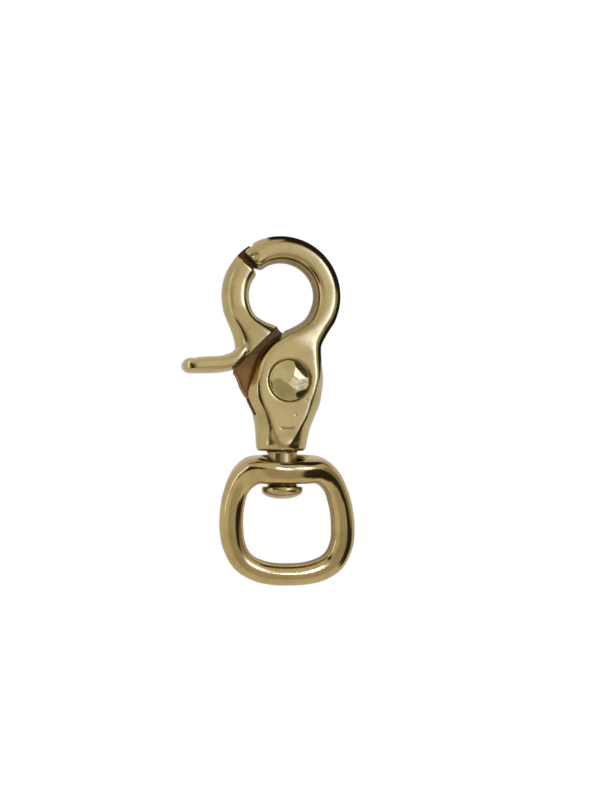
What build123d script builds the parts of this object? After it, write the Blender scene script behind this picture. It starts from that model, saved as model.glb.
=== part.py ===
from build123d import *
from math import acos, asin, cos, degrees, radians, sin, tan
import os

# Cast brass snap hook of the scissor kind, lying flat with its front face up.
# +X is across the hook, +Y runs from the strap eye to the ring, +Z is up.
# The origin is the centre of the ring at half thickness. All lengths are millimetres.

# Ring
bore_radius = 7.75
bar_width = 6.5
ring_thickness = 8.0
ring_section_depth = 9.2
nose_angle = 132.5
nose_rounding = 1.1
ring_arc_end = 22.0
ring_foot_angle = 8.0

# Body casting
body_thickness = 11.9
base_radius = 5.9
base_end_y = -36.8
base_rounding = 0.9
base_flat_relief = 0.06

# Slot and pivot
pivot_x = 1.2
pivot_y = -20.3
slot_width = 5.0
slot_gap = 0.5
tang_side_gap = 0.2
swing_margin = 2.0
heel_margin = 4.0
throat_angles = (120.0, 200.0)
pivot_running_gap = 0.05

# Rivet
rivet_radius = 2.3
rivet_head_radius = 4.8
rivet_head_height = 1.45
rivet_seat_depth = 0.5
rivet_seat_gap = 0.25
rivet_head_rim = 0.3
head_crown_radius = 0.8
facet_corners = [(1.3, 0.2), (0.5, 1.2), (-0.9, 1.0), (-1.2, -0.2), (-0.5, -1.3), (0.9, -1.0)]
facet_depth = 0.1
facet_fall = 1.35
facet_spread = 5.2

# Gate
gate_opening = 22.0
joint_gap = 1.3
gate_tip_rounding = 0.6
gate_arc_end = 180.0
gate_foot_angle = 195.0
paddle_thickness = 9.4
paddle_tip_x = -23.6
paddle_tip_y = -16.8
paddle_tip_radius = 1.9
paddle_corner = 3.2
tang_hub_radius = 6.6
tang_reach = 10.4
tang_corner_angle = 201.0
tang_heel_reach = 11.4
tang_heel_angle = 96.0
tongue_width = 3.2
tongue_gap = 0.3
tongue_lap = 9.0
tongue_span = 30.0
tongue_inset = 0.15
mortise_wall = 1.0
mortise_floor_gap = 0.4
mortise_end_gap = 5.0

# Spring
spring_wire = 0.7
spring_radius = 3.2
spring_turns = 3
spring_pitch = 0.78
spring_pocket_radius = 4.5
spring_pocket_depth = 3.3
spring_leg_reach = 1.6
spring_leg_gap = 0.15
spring_leg_end_gap = 0.4

# Stud and button head
neck_radius = 3.5
stud_x = 0.3
button_radius = 4.9
button_top_y = -45.25
button_height = 2.9
button_rim = 0.9

# Strap eye
eye_centre_y = -41.05
eye_offset_x = 1.05
eye_tilt = 10.0
eye_cant = 0.4
eye_lean = 3.0
eye_bar_top = 3.0
eye_hole_radius = 4.9
eye_recess_radius = 5.9
eye_recess_depth = 0.8
eye_recess_flare = 1.0

outer_radius = bore_radius + bar_width
pivot = Vector(pivot_x, pivot_y)
tang_thickness = slot_width - 2 * tang_side_gap
reach = 60.0
cut_margin = 2.0


def polar(radius, angle):
    """Point of the XY plane at a radius and an angle in degrees from the ring's centre."""
    return (radius * cos(radians(angle)), radius * sin(radians(angle)))


def from_pivot(radius, angle):
    """Point of the XY plane at a radius and an angle in degrees from the pivot."""
    return (pivot_x + radius * cos(radians(angle)), pivot_y + radius * sin(radians(angle)))


def across(inner, outer):
    """Plane that stands on the line from the inner to the outer point, its Y axis along Z."""
    start, end = Vector(*inner), Vector(*outer)
    along = (end - start).normalized()
    return Plane(origin=(start + end) * 0.5, x_dir=along, z_dir=along.cross(Vector(0, 0, 1)))


def oval(inner, outer, depth):
    """Elliptical section of a casting between two points of its outline."""
    half_width = (Vector(*outer) - Vector(*inner)).length / 2
    with BuildSketch(across(inner, outer)) as section:
        with BuildLine():
            EllipticalCenterArc((0, 0), half_width, depth / 2, 0, arc_size=180)
            EllipticalCenterArc((0, 0), half_width, depth / 2, 180, arc_size=180)
        make_face()
    return section.sketch


def flat_oval(inner, outer, depth, thickness):
    """Elliptical section of a casting, cut flat at its front and back face."""
    half_width = (Vector(*outer) - Vector(*inner)).length / 2
    cut = degrees(asin(thickness / depth))
    with BuildSketch(across(inner, outer)) as section:
        with BuildLine():
            far = EllipticalCenterArc((0, 0), half_width, depth / 2, -cut, arc_size=2 * cut)
            near = EllipticalCenterArc((0, 0), half_width, depth / 2, 180 - cut, arc_size=2 * cut)
            Line(far @ 1, near @ 0)
            Line(near @ 1, far @ 0)
        make_face()
    return section.sketch


def ring_flat(angle, depth=ring_section_depth, thickness=ring_thickness):
    """Section of the ring's bar at an angle, cut flat at both faces."""
    return flat_oval(polar(bore_radius, angle), polar(outer_radius, angle), depth, thickness)


def block(inner, outer, depth, rounding):
    """Rounded rectangular section between two points of the outline."""
    width = (Vector(*outer) - Vector(*inner)).length
    with BuildSketch(across(inner, outer)) as section:
        RectangleRounded(width, depth, min(rounding, 0.49 * width, 0.49 * depth))
    return section.sketch


# Body casting: the ring's bar, then sections that widen into the cheeks and close to the round base.
# The ring's foot goes by angle. Then each row is the two outline points, the depth of the ellipse
# and the thickness left by the flats.
ring_foot_sections = [(ring_arc_end,), (ring_foot_angle,), (-8.0, 9.4, 8.2), (-23.0, 10.1, 9.0)]
cheek_sections = [
    ((5.6, -5.6), (10.9, -9.2), 11.6, 10.3),
    ((2.9, -7.35), (9.55, -12.0), 13.8, 11.4),
    ((-0.4, -8.9), (9.5, -14.0), 15.6, body_thickness),
    ((-4.15, -11.7), (9.75, -16.8), 17.4, body_thickness),
    ((-6.6, -15.05), (10.0, -19.4), 18.4, body_thickness),
    ((-8.0, -20.0), (9.8, -22.5), 17.8, body_thickness),
    ((-8.3, -24.6), (9.2, -25.8), 16.2, body_thickness),
    ((-6.7, -28.6), (7.95, -28.8), 15.3, body_thickness),
    ((-6.15, -32.0), (6.75, -32.0), 13.6, body_thickness),
    ((-6.0, -34.5), (6.2, -34.5), 12.3, body_thickness),
    (
        (-base_radius, base_end_y),
        (base_radius, base_end_y),
        2 * base_radius,
        2 * base_radius - base_flat_relief,
    ),
]
with BuildPart() as hook_body:
    add(ring_flat(ring_arc_end))
    revolve(axis=Axis.Z, revolution_arc=nose_angle - ring_arc_end)
    nose = hook_body.faces().filter_by(GeomType.PLANE).sort_by(Axis.X)[0]
    fillet(nose.edges(), nose_rounding)
    ring_foot = [ring_flat(*row) for row in ring_foot_sections]
    loft(ring_foot + [flat_oval(*row) for row in cheek_sections])
    foot = hook_body.faces().sort_by(Axis.Y)[0]
    fillet(foot.edges(), base_rounding)

    # Slot for the tang: a round pocket about the pivot, open to the left as far as the gate swings
    with BuildSketch() as slot:
        with Locations(pivot):
            Circle(tang_hub_radius + slot_gap)
        with BuildLine():
            sweep_end = tang_corner_angle + gate_opening + swing_margin
            tangent = sweep_end + degrees(acos(tang_hub_radius / tang_reach))
            Polyline(
                from_pivot(0, 0),
                from_pivot(
                    tang_hub_radius + slot_gap,
                    tang_heel_angle - degrees(acos(tang_hub_radius / tang_heel_reach)),
                ),
                from_pivot(tang_heel_reach + slot_gap, tang_heel_angle - heel_margin),
                from_pivot(2 * tang_reach, throat_angles[0]),
                from_pivot(2 * tang_reach, throat_angles[1]),
                from_pivot(tang_reach + 2 * slot_gap, sweep_end),
                from_pivot(tang_hub_radius + slot_gap, tangent),
                close=True,
            )
        make_face()
    extrude(amount=slot_width / 2, both=True, mode=Mode.SUBTRACT)

    # Mortise in the nose for the gate's tongue
    with BuildSketch() as mortise:
        with BuildLine():
            Polyline(
                polar(bore_radius + mortise_wall, nose_angle - tongue_lap - mortise_end_gap),
                polar(outer_radius + cut_margin, nose_angle - tongue_lap - mortise_end_gap),
                polar(outer_radius + cut_margin, nose_angle + mortise_end_gap),
                polar(bore_radius + mortise_wall, nose_angle + mortise_end_gap),
                close=True,
            )
        make_face()
    extrude(amount=tongue_width / 2 + tongue_gap, both=True, mode=Mode.SUBTRACT)

    # Rivet bore and its seats in both cheeks
    with Locations((pivot_x, pivot_y, body_thickness / 2)):
        CounterBoreHole(
            rivet_radius, rivet_head_radius + rivet_seat_gap, rivet_seat_depth, depth=body_thickness
        )
    with Locations(Location((pivot_x, pivot_y, -body_thickness / 2), (180, 0, 0))):
        CounterBoreHole(
            rivet_radius, rivet_head_radius + rivet_seat_gap, rivet_seat_depth, depth=body_thickness
        )

    # Blind hole in the front cheek for the spring's fixed leg
    with BuildSketch(Plane.XY.offset(slot_width / 2)):
        with Locations(from_pivot(spring_radius, 0)):
            Circle(spring_wire / 2 + spring_leg_gap)
    extrude(amount=spring_leg_reach, mode=Mode.SUBTRACT)

    # Swivel stud with its button head
    with BuildSketch() as stud:
        with BuildLine():
            top = Line(
                (stud_x, base_end_y + base_rounding), (stud_x + neck_radius, base_end_y + base_rounding)
            )
            side = Line(top @ 1, (stud_x + neck_radius, button_top_y))
            shelf = Line(side @ 1, (stud_x + button_radius, button_top_y))
            rim = Line(shelf @ 1, (stud_x + button_radius, button_top_y - button_rim))
            dome = EllipticalCenterArc(
                (stud_x, button_top_y - button_rim),
                button_radius,
                button_height - button_rim,
                -90,
                arc_size=90,
            )
            Line((stud_x, button_top_y - button_height), top @ 0)
        make_face()
    revolve(axis=Axis((stud_x, 0, 0), (0, 1, 0)))

# Gate casting: ring bar from the joint to the shoulder, with the paddle and the tang.
gate_tip_angle = nose_angle + degrees(joint_gap / (bore_radius + bar_width / 2))
gate_sections = [
    ((1.4, -8.6), (-11.2, -15.8), 10.9, 9.4),
    ((-1.3, -7.2), (-11.0, -12.0), 10.6, 9.3),
    ((-4.0, -6.1), (-11.7, -9.0), 10.2, 9.0),
    ((-6.3, -4.6), (-12.8, -6.3), 9.8, 8.5),
]
paddle_sections = [
    ((-8.0, -14.0), (-8.0, -9.6), 9.0),
    ((-10.0, -16.4), (-10.0, -11.6), 10.4),
    ((-11.6, -17.7), (-11.6, -13.3), 10.8),
    ((-13.6, -18.2), (-13.6, -14.1), 10.9),
    ((-18.0, -18.5), (-18.0, -14.5), 10.9),
    ((-21.5, -18.5), (-21.5, -14.85), 10.9),
    ((-25.0, -18.4), (-25.0, -15.1), 10.9),
]
shoulder_outline = [
    (-1.4, -7.5),
    (-11.0, -17.1),
    (-12.4, -18.1),
    (-12.4, -reach),
    (reach, -reach),
    (reach, -7.5),
]
tang_outline = [
    (-0.7, -8.4),
    (-1.35, -7.45),
    (-4.0, -7.6),
    (-11.0, -15.6),
    (-11.3, -18.4),
    (-10.5, -19.6),
    (-9.75, -21.8),
]
with BuildPart() as paddle:
    loft([oval(*row) for row in paddle_sections])
    with BuildSketch() as front_view:
        with Locations((paddle_tip_x + paddle_tip_radius, paddle_tip_y)):
            Circle(paddle_tip_radius)
            Rectangle(reach, reach, align=(Align.MIN, Align.CENTER))
    extrude(amount=reach, both=True, mode=Mode.INTERSECT)
    with BuildSketch(Plane.XZ) as plan_view:
        with Locations((paddle_tip_x, 0)):
            RectangleRounded(reach, paddle_thickness, paddle_corner, align=(Align.MIN, Align.CENTER))
    extrude(amount=reach, both=True, mode=Mode.INTERSECT)
with BuildPart() as thumb_gate:
    add(ring_flat(gate_tip_angle))
    revolve(axis=Axis.Z, revolution_arc=gate_arc_end - gate_tip_angle)
    tip = thumb_gate.faces().filter_by(GeomType.PLANE).sort_by(Axis.Y)[-1]
    fillet(tip.edges(), gate_tip_rounding)
    sections = [flat_oval(*row) for row in gate_sections]
    sections += [ring_flat(angle) for angle in (gate_foot_angle, gate_arc_end)]
    loft(sections)
    add(paddle.part)

    # Shoulder above the tang
    with BuildSketch() as below_shoulder:
        with BuildLine():
            Polyline(*shoulder_outline, close=True)
        make_face()
    extrude(amount=reach, both=True, mode=Mode.SUBTRACT)

    # Tang round the pivot, with its heel in the notch of the ring and its corner under the paddle
    with BuildSketch() as tang:
        with Locations(pivot):
            Circle(tang_hub_radius)
        with BuildLine():
            heel_tangent = tang_heel_angle - degrees(acos(tang_hub_radius / tang_heel_reach))
            corner_tangent = tang_corner_angle + degrees(acos(tang_hub_radius / tang_reach))
            Polyline(
                from_pivot(0, 0),
                from_pivot(tang_hub_radius, heel_tangent),
                from_pivot(tang_heel_reach, tang_heel_angle),
                *tang_outline,
                from_pivot(tang_reach, tang_corner_angle),
                from_pivot(tang_hub_radius, corner_tangent),
                close=True,
            )
        make_face()
    extrude(amount=tang_thickness / 2, both=True)

    # Tongue that enters the fixed jaw's mortise
    with BuildSketch() as tongue:
        with BuildLine():
            outer = CenterArc((0, 0), outer_radius - tongue_inset, nose_angle - tongue_lap, tongue_span)
            tongue_foot = bore_radius + mortise_wall + mortise_floor_gap
            inner = CenterArc((0, 0), tongue_foot, nose_angle - tongue_lap, tongue_span)
            Line(outer @ 0, inner @ 0)
            Line(outer @ 1, inner @ 1)
        make_face()
    extrude(amount=tongue_width / 2, both=True)

    # Bore for the rivet, pocket for the spring and notch for its leg
    with Locations((pivot_x, pivot_y, 0)):
        Cylinder(rivet_radius + pivot_running_gap, 2 * reach, mode=Mode.SUBTRACT)
    with BuildSketch(Plane.XY.offset(tang_thickness / 2)):
        with Locations(pivot):
            Circle(spring_pocket_radius)
        with Locations(from_pivot(spring_pocket_radius, 0)):
            Rectangle(2 * spring_leg_reach, spring_wire + 2 * spring_leg_gap)
    extrude(amount=-spring_pocket_depth, mode=Mode.SUBTRACT)

# Rivet: shank and two domed heads, the front one peened in flats
head_seat = body_thickness / 2 - rivet_seat_depth
head_top = head_seat + rivet_head_height
with BuildPart() as rivet_head:
    with BuildSketch(Plane.XZ.offset(-pivot_y)) as half_head:
        with BuildLine():
            crown = Line((pivot_x, head_top), (pivot_x + head_crown_radius, head_top))
            dome = Spline(
                crown @ 1,
                (pivot_x + rivet_head_radius, head_seat + rivet_head_rim),
                tangents=((1, 0), (0, -1)),
            )
            rim = Line(dome @ 1, (pivot_x + rivet_head_radius, head_seat))
            under = Line(rim @ 1, (pivot_x, head_seat))
            Line(under @ 1, crown @ 0)
        make_face()
    revolve(axis=Axis((pivot_x, pivot_y, 0), (0, 0, 1)))

# Blows of the hammer: flat facets round the crown of the front head
with BuildPart() as peened_head:
    add(rivet_head.part)
    facets = []
    facet_top = head_top - facet_depth
    for height, spread in ((facet_top, 1.0), (facet_top - facet_fall, facet_spread)):
        with BuildSketch(Plane((pivot_x, pivot_y, height))) as ring_of_blows:
            with BuildLine():
                Polyline(*[(spread * x, spread * y) for x, y in facet_corners], close=True)
            make_face()
        facets.append(ring_of_blows.sketch)
    loft(facets, ruled=True, mode=Mode.INTERSECT)
with BuildPart() as pivot_rivet:
    with Locations((pivot_x, pivot_y, 0)):
        Cylinder(rivet_radius, 2 * head_seat)
    add(peened_head.part)
    add(rivet_head.part.mirror(Plane.XY))

# Torsion spring round the rivet: its lower leg pushes the tang, its upper leg is held in the front cheek
spring_floor = tang_thickness / 2 - spring_pocket_depth
spring_start_z = spring_floor + spring_wire / 2 + spring_leg_gap / 2
spring_height = spring_turns * spring_pitch
with BuildPart() as gate_spring:
    with BuildLine(Plane(origin=(pivot_x, pivot_y, spring_start_z))) as coil:
        Helix(spring_pitch, spring_height, spring_radius)
    with BuildSketch(Plane(origin=coil.line @ 0, z_dir=coil.line % 0)):
        Circle(spring_wire / 2)
    sweep(path=coil.line, is_frenet=True)
    with BuildSketch(Plane(origin=coil.line @ 0, z_dir=(1, 0, 0))):
        Circle(spring_wire / 2)
    low_leg = spring_pocket_radius + spring_leg_reach - spring_leg_end_gap - spring_radius
    extrude(amount=low_leg)
    with BuildSketch(Plane(origin=coil.line @ 1, z_dir=(0, 0, 1))):
        Circle(spring_wire / 2)
    extrude(amount=slot_width / 2 - spring_start_z - spring_height + spring_leg_reach - spring_leg_gap)

# Strap eye, in its own frame: the stud's hole runs along Y, the loop lies in XY.
# Each row is the two outline points, the depth and the rounding, from the crossbar's middle round
# the right side to the foot's middle. The close pairs at both ends keep the halves in line.
eye_sections = [
    ((0, -3.1), (0, eye_bar_top), 13.4, 1.5),
    ((0.7, -3.1), (0.7, eye_bar_top), 13.4, 1.5),
    ((4.2, -3.15), (4.6, eye_bar_top), 12.6, 1.6),
    ((7.1, -3.4), (9.2, 2.5), 10.2, 1.9),
    ((8.75, -4.9), (12.1, 0.3), 7.8, 2.2),
    ((9.9, -7.9), (15.05, -5.7), 6.0, 2.4),
    ((10.45, -11.0), (16.0, -10.2), 5.8, 2.4),
    ((10.55, -14.2), (16.25, -14.6), 5.8, 2.4),
    ((10.25, -17.6), (15.5, -19.4), 5.8, 2.4),
    ((8.75, -20.6), (13.05, -24.0), 5.8, 2.4),
    ((5.4, -22.3), (8.3, -27.05), 5.8, 2.4),
    ((2.6, -22.8), (3.9, -28.0), 5.8, 2.4),
    ((0.6, -22.9), (0.7, -28.15), 5.8, 2.4),
    ((0, -22.9), (0, -28.15), 5.8, 2.4),
]
with BuildPart() as eye_loop:
    loft([block(*row) for row in eye_sections])
    mirror(about=Plane.YZ)

# The loop leans a little to one side of its crossbar, and the stud's hole stays square to it
lean = Matrix([[1, -tan(radians(eye_lean)), 0, 0], [0, 1, 0, 0], [0, 0, 1, 0]])
with BuildPart() as eye_casting:
    add(eye_loop.part.transform_geometry(lean))
    with BuildSketch(Plane.XY) as hole:
        with BuildLine():
            Polyline(
                (0, -2 * eye_hole_radius),
                (eye_hole_radius, -2 * eye_hole_radius),
                (eye_hole_radius, eye_bar_top - eye_recess_depth),
                (eye_recess_radius, eye_bar_top),
                (eye_recess_radius + eye_recess_flare, eye_bar_top + eye_recess_flare),
                (0, eye_bar_top + eye_recess_flare),
                close=True,
            )
        make_face()
    revolve(axis=Axis.Y, mode=Mode.SUBTRACT)

# The loose eye as it rests on the stud: shifted, leaning back and slightly askew
eye_seat = Plane(origin=(eye_offset_x, eye_centre_y, 0)).rotated((eye_tilt, 0, eye_cant)).location
with BuildPart() as swivel_eye:
    add(eye_casting.part.moved(eye_seat))

os.makedirs("parts", exist_ok=True)
for name, piece in (
    ("hook_body", hook_body),
    ("thumb_gate", thumb_gate),
    ("pivot_rivet", pivot_rivet),
    ("gate_spring", gate_spring),
    ("swivel_eye", swivel_eye),
):
    piece.part.label = name
    export_step(piece.part, f"parts/{name}.step")
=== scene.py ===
"""Looks of a cast brass snap hook that lies on a pale table, front face up.

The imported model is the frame: it stays as it is, and each casting gets a smooth dressed form in
its place. Shapes are made in millimetres in the frame's own axes and turned into metres at the end.
"""
import logging
import math
from dataclasses import dataclass, replace
from enum import Enum
from typing import Any, Iterable, Sequence

import bmesh
import bpy
from mathutils import Matrix, Vector


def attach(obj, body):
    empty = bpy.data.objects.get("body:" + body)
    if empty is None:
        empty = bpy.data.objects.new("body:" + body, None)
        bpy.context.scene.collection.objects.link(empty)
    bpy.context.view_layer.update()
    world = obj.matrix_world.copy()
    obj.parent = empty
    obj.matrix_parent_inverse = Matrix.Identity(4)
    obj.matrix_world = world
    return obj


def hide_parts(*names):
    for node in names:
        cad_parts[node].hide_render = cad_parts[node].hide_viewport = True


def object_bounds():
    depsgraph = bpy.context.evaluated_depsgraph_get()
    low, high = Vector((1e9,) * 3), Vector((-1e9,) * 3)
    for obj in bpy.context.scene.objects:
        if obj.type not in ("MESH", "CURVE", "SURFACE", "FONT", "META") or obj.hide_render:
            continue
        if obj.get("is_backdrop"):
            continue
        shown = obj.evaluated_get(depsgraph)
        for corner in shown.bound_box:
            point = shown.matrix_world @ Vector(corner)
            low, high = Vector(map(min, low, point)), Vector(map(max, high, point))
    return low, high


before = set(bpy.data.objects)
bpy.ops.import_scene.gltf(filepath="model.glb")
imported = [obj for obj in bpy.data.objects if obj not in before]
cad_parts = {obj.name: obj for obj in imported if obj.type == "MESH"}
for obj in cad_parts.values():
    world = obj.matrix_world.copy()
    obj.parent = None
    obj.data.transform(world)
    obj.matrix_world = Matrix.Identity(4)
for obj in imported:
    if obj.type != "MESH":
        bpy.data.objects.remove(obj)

Pair = tuple[float, float]
Colour = tuple[float, float, float, float]
Form = bmesh.types.BMesh
Thing = bpy.types.Object
Socket = bpy.types.NodeSocket

MM = 0.001
TAU = 2 * math.pi
QUARTER = math.pi / 2
FAR = 30.0  # reach of a cut that goes right through
END_GAP = 0.3  # clear space between a rounded end and the next section
SOFT_EDGE = 0.3  # width over which raw metal turns into polished metal

log = logging.getLogger("snap_hook")


class Axis(Enum):
    """Axis that a turned form stands on, as the matrix that brings Z to it."""

    ALONG_Z = Matrix.Identity(4)
    ALONG_Y = Matrix.Rotation(math.radians(-90), 4, "X")


def polar(radius: float, angle: float, centre: Pair = (0, 0)) -> Pair:
    """Point at a radius and an angle in degrees from a centre, which is the ring's unless given."""
    turn = math.radians(angle)
    return (centre[0] + radius * math.cos(turn), centre[1] + radius * math.sin(turn))


def smooth_step(value: float) -> float:
    """Eased value that runs from 0 to 1."""
    value = min(max(value, 0.0), 1.0)
    return value * value * (3 - 2 * value)


def fade(distance: float, width: float) -> float:
    """Share that falls off with the distance like a bell of that width."""
    return math.exp(-((distance / width) ** 2))


# Sections and skins


@dataclass(frozen=True)
class Section:
    """One cross-section of a casting, between two points of its outline.

    inner and outer are in the XY plane, depth is along Z, thickness is what the two flats leave,
    softness is how far the flats' edges are rounded, and squareness is 2 for an ellipse and more
    for a rounded block.
    """

    inner: Pair
    outer: Pair
    depth: float
    thickness: float
    softness: float = 0.4
    squareness: float = 2.0

    def values(self) -> list[float]:
        """The section as a row of numbers, for blending between sections."""
        return [*self.inner, *self.outer, self.depth, self.thickness, self.softness, self.squareness]

    @staticmethod
    def of(row: Sequence[float]) -> "Section":
        """The section that a row of numbers stands for."""
        return Section((row[0], row[1]), (row[2], row[3]), *row[4:])

    def mirrored(self) -> "Section":
        """The same section on the other side of the YZ plane."""
        (inner_x, inner_y), (outer_x, outer_y) = self.inner, self.outer
        return replace(self, inner=(-inner_x, inner_y), outer=(-outer_x, outer_y))


def row_gap(first: Sequence[float], second: Sequence[float]) -> float:
    """Distance between the middles of two rows, never quite zero."""
    across, along = ((first[k] + first[k + 2] - second[k] - second[k + 2]) / 2 for k in (0, 1))
    return max(math.hypot(across, along), 0.05)


def curve_value(values: Sequence[float], gaps: Sequence[float], share: float) -> float:
    """Value on a smooth curve through four values, between the two middle ones.

    Args:
        values: the four values.
        gaps: the three distances between them.
        share: how far along the middle span, from 0 to 1.

    Returns:
        The value there.
    """
    rises = [(end - start) / gap for start, end, gap in zip(values, values[1:], gaps)]
    slope_in = (rises[0] * gaps[1] + rises[1] * gaps[0]) / (gaps[0] + gaps[1]) * gaps[1]
    slope_out = (rises[1] * gaps[2] + rises[2] * gaps[1]) / (gaps[1] + gaps[2]) * gaps[1]
    cube, square = share**3, share**2
    return (
        (2 * cube - 3 * square + 1) * values[1]
        + (cube - 2 * square + share) * slope_in
        + (3 * square - 2 * cube) * values[2]
        + (cube - square) * slope_out
    )


def blended(sections: Sequence[Section], steps: int, closed: bool = False) -> list[Section]:
    """Sections in between, along a smooth curve through the given ones.

    Args:
        sections: the sections that the curve passes through.
        steps: how many sections each span gets.
        closed: whether the last section is joined to the first.

    Returns:
        The finer list of sections.
    """
    rows = [section.values() for section in sections]
    if closed:
        rows = [rows[-1], *rows, rows[0], rows[1]]
    else:
        before, after = (
            [2 * end - inside for end, inside in zip(*two)] for two in (rows[:2], rows[:-3:-1])
        )
        rows = [before, *rows, after]
    result = []
    for four in zip(rows, rows[1:], rows[2:], rows[3:]):
        gaps = [row_gap(first, second) for first, second in zip(four, four[1:])]
        for step in range(steps):
            result.append(Section.of([curve_value(values, gaps, step / steps) for values in zip(*four)]))
    if not closed:
        result.append(sections[-1])
    return result


def rounded_end(last: Section, before: Section, radius: float, steps: int = 6) -> list[Section]:
    """Sections that round off the end of a bar.

    Args:
        last: the section at the bar's end.
        before: the one just before it, which gives the direction.
        radius: the rounding's radius.
        steps: how many sections the rounding takes.

    Returns:
        Sections from the start of the rounding to the end face.
    """
    inner, outer = Vector(last.inner), Vector(last.outer)
    back = ((Vector(before.inner) + Vector(before.outer)) / 2 - (inner + outer) / 2).normalized()
    along = (outer - inner).normalized()
    result = []
    for step in range(steps + 1):
        turn = QUARTER * step / steps
        shift = back * radius * (1 - math.sin(turn))
        shrink = radius * (1 - math.cos(turn))
        result.append(
            replace(
                last,
                inner=tuple(inner + shift + along * shrink),
                outer=tuple(outer + shift - along * shrink),
                depth=last.depth - 2 * shrink,
                thickness=last.thickness - 2 * shrink,
            )
        )
    return result


def soft_limit(value: float, limit: float, softness: float) -> float:
    """A value held inside plus or minus a limit.

    Args:
        value: the value.
        limit: the limit.
        softness: how far before the limit the value starts to bend.

    Returns:
        The value, or nearly the limit.
    """
    size, start = abs(value), limit - softness
    if size > start:
        size = start + softness * math.tanh((size - start) / softness)
    return math.copysign(size, value)


def skin(sections: Sequence[Section], corners: int = 72, closed: bool = False) -> Form:
    """Closed form through a row of sections.

    Args:
        sections: the sections, close together.
        corners: how many corners each section has.
        closed: whether the row is a loop.

    Returns:
        The form, in millimetres.
    """
    form = bmesh.new()
    loops = []
    for section in sections:
        inner, outer = Vector((*section.inner, 0)), Vector((*section.outer, 0))
        along = (outer - inner).normalized()
        middle = (inner + outer) / 2
        half_width = (outer - inner).length / 2
        made = bmesh.ops.create_circle(form, cap_ends=False, segments=corners, radius=1)["verts"]
        power = 2 / section.squareness
        for vert in made:
            wide = math.copysign(abs(vert.co.x) ** power, vert.co.x)
            high = math.copysign(abs(vert.co.y) ** power, vert.co.y) * section.depth / 2
            high = soft_limit(high, section.thickness / 2, section.softness)
            vert.co = middle + along * half_width * wide + Vector((0, 0, high))
        loops.append(list({edge for vert in made for edge in vert.link_edges}))
    pairs = list(zip(loops, loops[1:]))
    if closed:
        pairs.append((loops[-1], loops[0]))
    for first, second in pairs:
        bmesh.ops.bridge_loops(form, edges=first + second)
    if not closed:
        bmesh.ops.edgeloop_fill(form, edges=loops[0])
        bmesh.ops.edgeloop_fill(form, edges=loops[-1])
    bmesh.ops.recalc_face_normals(form, faces=form.faces)
    return form


# Plain forms


def raise_copy(form: Form, raised: Sequence[Any], height: float) -> None:
    """Lifts the corners among freshly extruded parts along Z."""
    tops = [item for item in raised if isinstance(item, bmesh.types.BMVert)]
    bmesh.ops.translate(form, verts=tops, vec=(0, 0, height))


def prism(points: Iterable[Pair], low: float, high: float) -> Form:
    """Upright prism over an outline in the XY plane.

    Args:
        points: the outline.
        low: where the prism starts along Z.
        high: where it ends.

    Returns:
        The form, in millimetres.
    """
    form = bmesh.new()
    base = form.faces.new([form.verts.new((x, y, low)) for x, y in points])
    raise_copy(form, bmesh.ops.extrude_face_region(form, geom=[base])["geom"], high - low)
    bmesh.ops.recalc_face_normals(form, faces=form.faces)
    return form


def arc_points(radius: float, start: float, end: float, count: int) -> list[Pair]:
    """Points along an arc round the ring's centre, between two angles in degrees."""
    return [polar(radius, start + (end - start) * k / (count - 1)) for k in range(count)]


def turned(profile: Sequence[Pair], axis: Axis, centre: Pair = (0, 0), steps: int = 96) -> Form:
    """Solid of revolution.

    Args:
        profile: (radius, height) points from the foot's centre to the top's centre.
        axis: the axis that the heights run along.
        centre: the point of the XY plane that the profile's zero stands on.
        steps: how many steps the full turn has.

    Returns:
        The form, in millimetres.
    """
    form = bmesh.new()
    verts = [form.verts.new((radius, 0, height)) for radius, height in profile]
    edges = [form.edges.new(pair) for pair in zip(verts, verts[1:])]
    bmesh.ops.spin(
        form,
        geom=verts + edges,
        axis=(0, 0, 1),
        cent=(0, 0, 0),
        angle=TAU,
        steps=steps,
        use_merge=True,
    )
    bmesh.ops.remove_doubles(form, verts=form.verts, dist=1e-4)
    bmesh.ops.recalc_face_normals(form, faces=form.faces)
    place = Matrix.Translation(Vector((*centre, 0)))
    bmesh.ops.transform(form, matrix=place @ axis.value, verts=form.verts)
    return form


def disc(radius: float, low: float, high: float, centre: Pair) -> Form:
    """Round plate or pin that stands along Z, from low to high."""
    return turned([(0, low), (radius, low), (radius, high), (0, high)], Axis.ALONG_Z, centre)


# From forms to pieces


def stand_in(form: Form, name: str) -> Thing:
    """Object in the scene that holds a form.

    Args:
        form: the form, which is used up.
        name: the object's name.

    Returns:
        The object.
    """
    mesh = bpy.data.meshes.new(name)
    form.to_mesh(mesh)
    form.free()
    made = bpy.data.objects.new(name, mesh)
    bpy.context.scene.collection.objects.link(made)
    return made


def after_modifiers(made: Thing, spares: Sequence[Thing] = ()) -> Form:
    """Form of an object once its modifiers have done their work.

    Args:
        made: the object, which is removed.
        spares: objects that its modifiers used, which are removed too.

    Returns:
        The form.
    """
    bpy.context.view_layer.update()
    graph = bpy.context.evaluated_depsgraph_get()
    mesh = bpy.data.meshes.new_from_object(made.evaluated_get(graph), depsgraph=graph)
    result = bmesh.new()
    result.from_mesh(mesh)
    for spare in [made, *spares]:
        bpy.data.objects.remove(spare, do_unlink=True)
    bpy.data.meshes.remove(mesh)
    return result


def carved(form: Form, cuts: Sequence[Form]) -> Form:
    """Form with other forms cut away.

    Args:
        form: the form, which is used up.
        cuts: the forms to cut away, in order, which are used up too.

    Returns:
        What is left.
    """
    body = stand_in(form, "carving")
    tools = []
    for number, cut in enumerate(cuts):
        tools.append(stand_in(cut, f"carving_tool_{number}"))
        step = body.modifiers.new(f"cut_{number}", "BOOLEAN")
        step.operation = "DIFFERENCE"
        step.solver = "EXACT"
        step.object = tools[-1]
    return after_modifiers(body, tools)


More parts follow.
